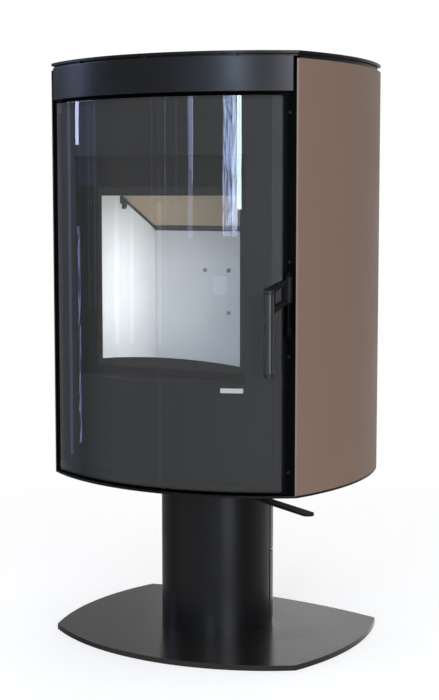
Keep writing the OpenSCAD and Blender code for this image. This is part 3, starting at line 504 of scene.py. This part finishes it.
post_screw = painted("dull zinc screws", (0.028, 0.029, 0.031), 0.4, grain=500.0, depth=0.00002,
                     worn=0.0, metal=1.0)
# Darkened almost to black, with next to no gloss: painted shade of the dark recess beside the door. The
# hinge tabs, handle lugs and latch shaft use it too.
post_paint_and_recess_shade = painted("matte black post paint with painted recess shade", (0.0012, 0.0012, 0.0013), 0.55, gloss=0.04, grain=1100.0,
                     depth=0.00001, worn=0.05)
eased("front_post_left", "stove_body", "black_steel", post_paint_and_recess_shade)
eased("front_post_right", "stove_body", "black_steel", post_paint_and_recess_shade)
post_x, post_front_y, post_foot_z = 0.2465, -0.175, 0.316
screw_heads("post_screw_heads", "stove_body", "zinc_steel", post_screw, "post_screws",
            [((side * post_x, post_front_y, post_foot_z + rise), (0, -1, 0))
             for side in (-1, 1) for rise in (0.045, 0.253, 0.421, 0.682)], radius=0.0032, shank=0.007)

# ---- Side and back panels ----
# Bowed 2 mm sheets. The two sides are powder coated brown with a very fine grain. The
# back is black, with two rows of vents, and a blanking plate over the rear flue opening.

brown_coat = painted("brown powder coat", (0.193, 0.121, 0.085), 0.52, gloss=0.36, grain=1500.0,
                     depth=0.00005, spread=0.06, worn=0.25, worn_colour=(0.30, 0.24, 0.21), shade=0.07)
eased("side_panel_left", "stove_body", "brown_panel", brown_coat, edge=0.0005, steps=3)
eased("side_panel_right", "stove_body", "brown_panel", brown_coat, edge=0.0005, steps=3)
eased("back_panel", "stove_body", "black_steel", stove_paint)
eased("rear_flue_cover", "stove_body", "black_steel", stove_paint)

back_r, back_cy, proud = 0.960338, -0.747338, 0.0003
cover_y, cover_z, cover_screws_r = 0.2145, 0.951, 0.075
back_screws = []
for x in (-0.2514, 0.2514):
    lean = asin(x / back_r)
    out_way = Vector((sin(lean), cos(lean), 0))
    back_screws += [(Vector((0, back_cy, z)) + (back_r + proud) * out_way, out_way) for z in (0.350, 1.061)]
for around in (radians(90), radians(210), radians(330)):
    seat = Vector((cover_screws_r * cos(around), cover_y, cover_z + cover_screws_r * sin(around)))
    back_screws.append((seat, (0, 1, 0)))
screw_heads("back_screw_heads", "stove_body", "zinc_steel", post_screw, "back_panel_screws", back_screws,
            radius=0.0038, shank=0.008)

# ---- Fascia and top ----
# A folded strip closes the front over the door. The top is a sheet tray with a narrow
# neck, so the 5 mm top plate seems to float over a thin shadow gap.

fascia_paint = painted("satin black fascia paint", (0.0028, 0.0030, 0.0034), 0.34, gloss=0.28, grain=1100.0,
                       depth=0.00002, worn=0.3)
eased("fascia", "stove_body", "black_steel", fascia_paint, edge=0.0006, steps=3)
eased("top_deck", "stove_body", "black_steel", stove_paint, edge=0.0003)
eased("top_spacers", "stove_body", "black_steel", stove_paint, edge=0.0003)
eased("top_plate", "stove_body", "black_steel", stove_paint, edge=0.0005, steps=3)

# ---- Hinges and latch keeper ----
# Two tabs on the firebox front carry short steel pins that the door turns on. The latch
# tongue bears on a small roller between two plates behind the right post.

black_oxide = painted("black oxide steel", (0.018, 0.018, 0.020), 0.36, gloss=0.4, grain=700.0,
                      depth=0.00001, worn=0.3, metal=1.0)
# The hinge tabs take the darkened post paint, with its painted shade.
eased("hinge_brackets", "stove_body", "black_steel", post_paint_and_recess_shade)
eased("hinge_pins", "stove_body", "zinc_steel", post_screw, edge=0.0003)
eased("latch_keeper", "stove_body", "inner_steel", black_oxide, edge=0.0003)

# ---- Door ----
# A shallow welded tray carries the curved glass at its front, on a black silicone band,
# and a flat pane over the mouth at its back, so the glass stays cool and clean.

silicone = painted("black silicone", (0.004, 0.004, 0.0043), 0.8, gloss=0.12, grain=800.0, worn=0.0)
eased("door_frame", "door", "inner_steel", heat_paint)
eased("door_back_plate", "door", "inner_steel", heat_paint)
eased("door_hinge_blocks", "door", "black_steel", stove_paint)
eased("glass_seal", "door", "black_rubber", silicone, edge=0.0006)


def glass_pane(name, tint, through, ripple):
    """Clear ceramic glass with a faint upright ripple. Lamps shine through it, less its tint."""
    finish = bpy.data.materials.new(name)
    finish.use_nodes = True
    nodes, links = finish.node_tree.nodes, finish.node_tree.links
    skin = nodes["Principled BSDF"]
    skin.inputs["Base Color"].default_value = (*tint, 1)
    skin.inputs["Roughness"].default_value = 0.0
    skin.inputs["Transmission Weight"].default_value = 1.0
    where = nodes.new("ShaderNodeTexCoord")
    drawn = nodes.new("ShaderNodeMapping")
    drawn.inputs["Scale"].default_value = (1.0, 1.0, 0.22)
    wave = nodes.new("ShaderNodeTexNoise")
    wave.inputs["Scale"].default_value = 26.0
    wave.inputs["Detail"].default_value = 1.0
    bump = nodes.new("ShaderNodeBump")
    bump.inputs["Distance"].default_value = ripple
    links.new(where.outputs["Object"], drawn.inputs["Vector"])
    links.new(drawn.outputs["Vector"], wave.inputs["Vector"])
    links.new(wave.outputs["Fac"], bump.inputs["Height"])
    links.new(bump.outputs["Normal"], skin.inputs["Normal"])
    ray = nodes.new("ShaderNodeLightPath")
    clear = nodes.new("ShaderNodeBsdfTransparent")
    clear.inputs["Color"].default_value = (*through, 1)
    mix = nodes.new("ShaderNodeMixShader")
    links.new(ray.outputs["Is Shadow Ray"], mix.inputs["Fac"])
    links.new(skin.outputs["BSDF"], mix.inputs[1])
    links.new(clear.outputs["BSDF"], mix.inputs[2])
    links.new(mix.outputs["Shader"], nodes["Material Output"].inputs["Surface"])
    return finish


# The curved pane: a strip swept round the front arc, cut off square at both ends and ground
low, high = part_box("door_glass")
front_r, front_cy, glass_t, ground_edge = 0.448209, 0.186209, 0.004, 0.0007
curved_glass = glass_pane("curved ceramic glass", (0.93, 0.95, 0.96), (0.80, 0.82, 0.83), 0.00012)
pane = bmesh.new()
bmesh.ops.create_grid(pane, x_segments=1, y_segments=1, size=0.5)
bmesh.ops.transform(pane, verts=pane.verts, matrix=Matrix.Translation(
    (front_r - glass_t / 2, 0, (low[2] + high[2]) / 2)) @ Matrix.Rotation(pi / 2, 4, "X")
    @ Matrix.Diagonal((glass_t, high[2] - low[2], 1, 1)))
half = asin(high[0] / front_r) + radians(1.5)
bmesh.ops.rotate(pane, verts=pane.verts, matrix=Matrix.Rotation(-pi / 2 - half, 3, "Z"), cent=(0, 0, 0))
bmesh.ops.spin(pane, geom=pane.faces[:] + pane.edges[:] + pane.verts[:], cent=(0, 0, 0), axis=(0, 0, 1),
               angle=2 * half, steps=130)
bmesh.ops.translate(pane, verts=pane.verts, vec=(0, front_cy, 0))
for side, normal in ((low[0], (-1, 0, 0)), (high[0], (1, 0, 0))):
    bmesh.ops.bisect_plane(pane, geom=pane.faces[:] + pane.edges[:] + pane.verts[:], dist=1e-7,
                           plane_co=(side, 0, 0), plane_no=normal, clear_outer=True)
bmesh.ops.holes_fill(pane, edges=pane.edges[:], sides=0)
bmesh.ops.remove_doubles(pane, verts=pane.verts, dist=1e-6)
bmesh.ops.recalc_face_normals(pane, faces=pane.faces)
for level in (low[2] + 0.003, high[2] - 0.003):   # keeps the shading of the long ground edges level
    bmesh.ops.bisect_plane(pane, geom=pane.faces[:] + pane.edges[:] + pane.verts[:], dist=1e-7,
                           plane_co=(0, 0, level), plane_no=(0, 0, 1))
rim = [e for e in pane.edges if len(e.link_faces) == 2 and e.calc_face_angle(0) > radians(25)]
bmesh.ops.bevel(pane, geom=rim, offset=ground_edge, offset_type="OFFSET", segments=2, affect="EDGES",
                profile=0.5, clamp_overlap=True, material=-1)
made(pane, "curved_door_glass", "door", "front_glass", curved_glass, "door_glass")

flat_glass = glass_pane("flat ceramic glass", (0.96, 0.97, 0.97), (0.90, 0.91, 0.91), 0.00002)
eased("inner_glass", "door", "clear_glass", flat_glass, edge=0.0005)

eased("inner_glass_clips", "door", "inner_steel", heat_paint, edge=0.0002)
clip_x, clip_y = 0.171, -0.178
screw_heads("clip_screw_heads", "door", "inner_steel", black_oxide, "clip_screws",
            [((side * clip_x, clip_y, z), (0, -1, 0)) for side in (-1, 1) for z in (0.564, 0.7018, 0.8396)],
            radius=0.00285, shank=0.0035)
# The lugs take the darkened post paint, with its painted shade.
eased("handle_lugs", "door", "black_steel", post_paint_and_recess_shade)

# A blank brushed plate, glued to the glass below its clear field
brushed = painted("brushed blank plate", (0.41, 0.40, 0.385), 0.45, gloss=0.5, grain=1800.0, depth=0.00002,
                  worn=0.0, shade=0.05)
eased("name_plate", "door", "plate_aluminium", brushed, edge=0.00015)

# The braided rope round the back of the door, squeezed flat by the front plate. A flattened ring
# is drawn up half the right side and along half the top, and mirrored to go all the way round.
rope_stuff = painted("glass fibre rope", (0.50, 0.48, 0.43), 0.9, gloss=0.2, grain=1500.0,
                     depth=0.00005, worn=0.0)
low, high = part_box("door_gasket")
rope_w, rope_t, bend_r = 0.0060, 0.00115, 0.011    # half its width, half its thickness, its corners
ring_gap, braid_pitch, strand_rise = 0.0013, 0.0085, 0.0003
middle = (low + high) / 2
reach_x = high[0] - rope_w - bend_r
reach_z = (high[2] - low[2]) / 2 - rope_w - bend_r
round_length = 4 * (reach_x + reach_z) + 2 * pi * bend_r
rope = bmesh.new()
ring = bmesh.ops.create_circle(rope, segments=16, radius=1.0)["verts"]
bmesh.ops.scale(rope, vec=(rope_w, rope_t, 1), verts=ring)
bmesh.ops.translate(rope, vec=(reach_x + bend_r, middle[1], 0), verts=ring)
ring = rope.edges[:] + rope.verts[:]
for run, bend in ((Vector((0, 0, reach_z)), True), (Vector((-reach_x, 0, 0)), False)):
    steps = round(run.length / ring_gap)
    ring = bmesh.ops.spin(rope, geom=ring, cent=(0, 0, 0), axis=(0, 0, 1), dvec=run / steps, angle=0,
                          steps=steps)["geom_last"]
    if bend:
        ring = bmesh.ops.spin(rope, geom=ring, cent=(reach_x, 0, reach_z), axis=(0, -1, 0), angle=pi / 2,
                              steps=14)["geom_last"]
for axis in ("X", "Z"):
    bmesh.ops.mirror(rope, geom=rope.verts[:] + rope.edges[:] + rope.faces[:], merge_dist=1e-5, axis=axis)
strands = 2 * pi * round(round_length / braid_pitch) / round_length
for corner in rope.verts:                          # the crossing strands of the braid stand up a little
    x, z = corner.co.x, corner.co.z
    core_x, core_z = max(-reach_x, min(reach_x, x)), max(-reach_z, min(reach_z, z))
    outward = Vector((x - core_x, 0, z - core_z))
    heading = atan2(outward.z, outward.x) % (2 * pi)
    side = round(heading / (pi / 2)) % 4
    gone = bend_r * heading + (core_z, reach_z + reach_x - core_x, 2 * reach_x + 2 * reach_z - core_z,
                               3 * reach_z + 3 * reach_x + core_x)[side]
    across, up = (outward.length - bend_r) / rope_w, (corner.co.y - middle[1]) / rope_t
    turn = atan2(up, across)
    lift = strand_rise * sin(4 * turn + strands * gone) * sin(4 * turn - strands * gone)
    corner.co += outward.normalized() * lift * cos(turn) + Vector((0, lift * sin(turn), 0))
bmesh.ops.translate(rope, vec=(0, 0, middle[2]), verts=rope.verts)
bmesh.ops.recalc_face_normals(rope, faces=rope.faces)
made(rope, "rope_gasket", "door", "rope_seal", rope_stuff, "door_gasket")

# ---- Handle and latch ----
# A lacquered tube with two plastic caps hangs from a pierced bracket. The bracket's hub
# is pinned to the latch shaft, which turns in two lugs at the door's edge.

lacquer = painted("black lacquered tube", (0.018, 0.019, 0.021), 0.24, gloss=0.5, grain=900.0,
                  depth=0.00001, worn=0.2)
bracket_paint = painted("matte black bracket paint", (0.0025, 0.0025, 0.0027), 0.42, gloss=0.13,
                        grain=1100.0, depth=0.00001, worn=0.2)
cap_plastic = painted("matte black cap", (0.008, 0.008, 0.0085), 0.55, gloss=0.35, grain=1500.0, worn=0.0)
eased("handle_bracket", "handle", "black_steel", bracket_paint, edge=0.0006, steps=3)
eased("handle_bar", "handle", "handle_steel", lacquer, edge=0.0006, steps=3)
eased("handle_caps", "handle", "cap_black", cap_plastic, edge=0.0012, steps=3)
# The latch shaft takes the darkened post paint, with its painted shade.
eased("latch_shaft", "handle", "inner_steel", post_paint_and_recess_shade, edge=0.0003)

# ---- Air lever ----
# A flat steel lever under the bottom plate turns a perforated register over the ports
# of the air box. Its end is rounded and sticks out beside the right corner.

eased("air_lever", "air_control", "black_steel", stove_paint, edge=0.0006, steps=3)
eased("lever_pivot", "air_control", "zinc_steel", zinc, edge=0.0003)
eased("air_register", "air_control", "zinc_steel", zinc, edge=0.0003)
